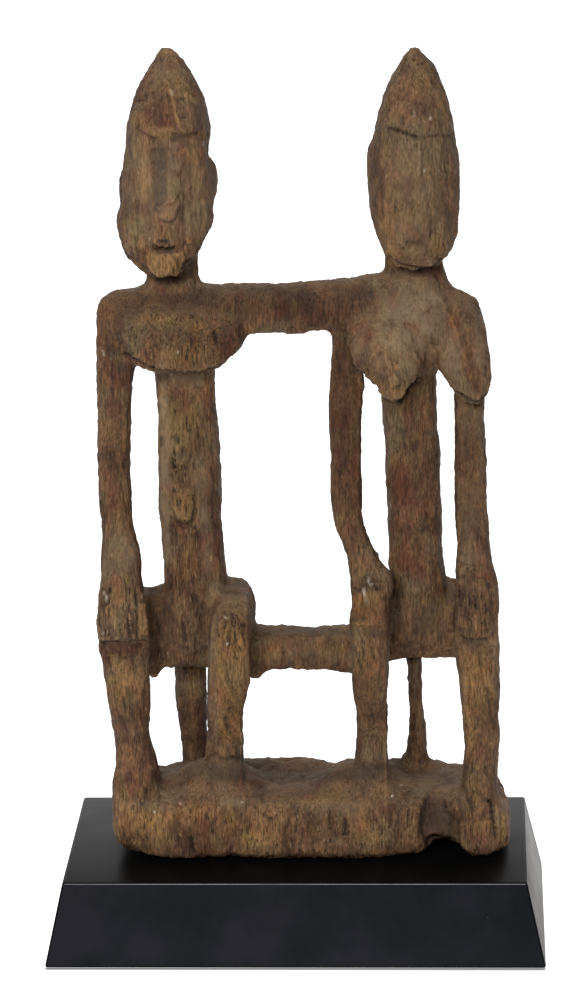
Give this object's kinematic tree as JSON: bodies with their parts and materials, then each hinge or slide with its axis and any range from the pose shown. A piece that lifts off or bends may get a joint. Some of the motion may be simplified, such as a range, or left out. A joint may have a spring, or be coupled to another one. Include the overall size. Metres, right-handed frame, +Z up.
{
  "type": "seated couple figure on a stand",
  "caption": "Seated couple carved from a worn block of wood, arm round shoulder, on a black stand with leaning sides.",
  "frame": {"origin": "middle of the stand's underside", "axes": "+Z up, +X to the viewer's right, the couple's faces look along -Y"},
  "size_m": [0.2796, 0.153, 0.5044],
  "materials": {
    "weathered_wood": "dry, worn, open grain",
    "black_lacquer": "satin black paint"
  },
  "bodies": {
    "root": {"seated_couple": "weathered_wood", "stand": "black_lacquer"}
  },
  "joints": []
}
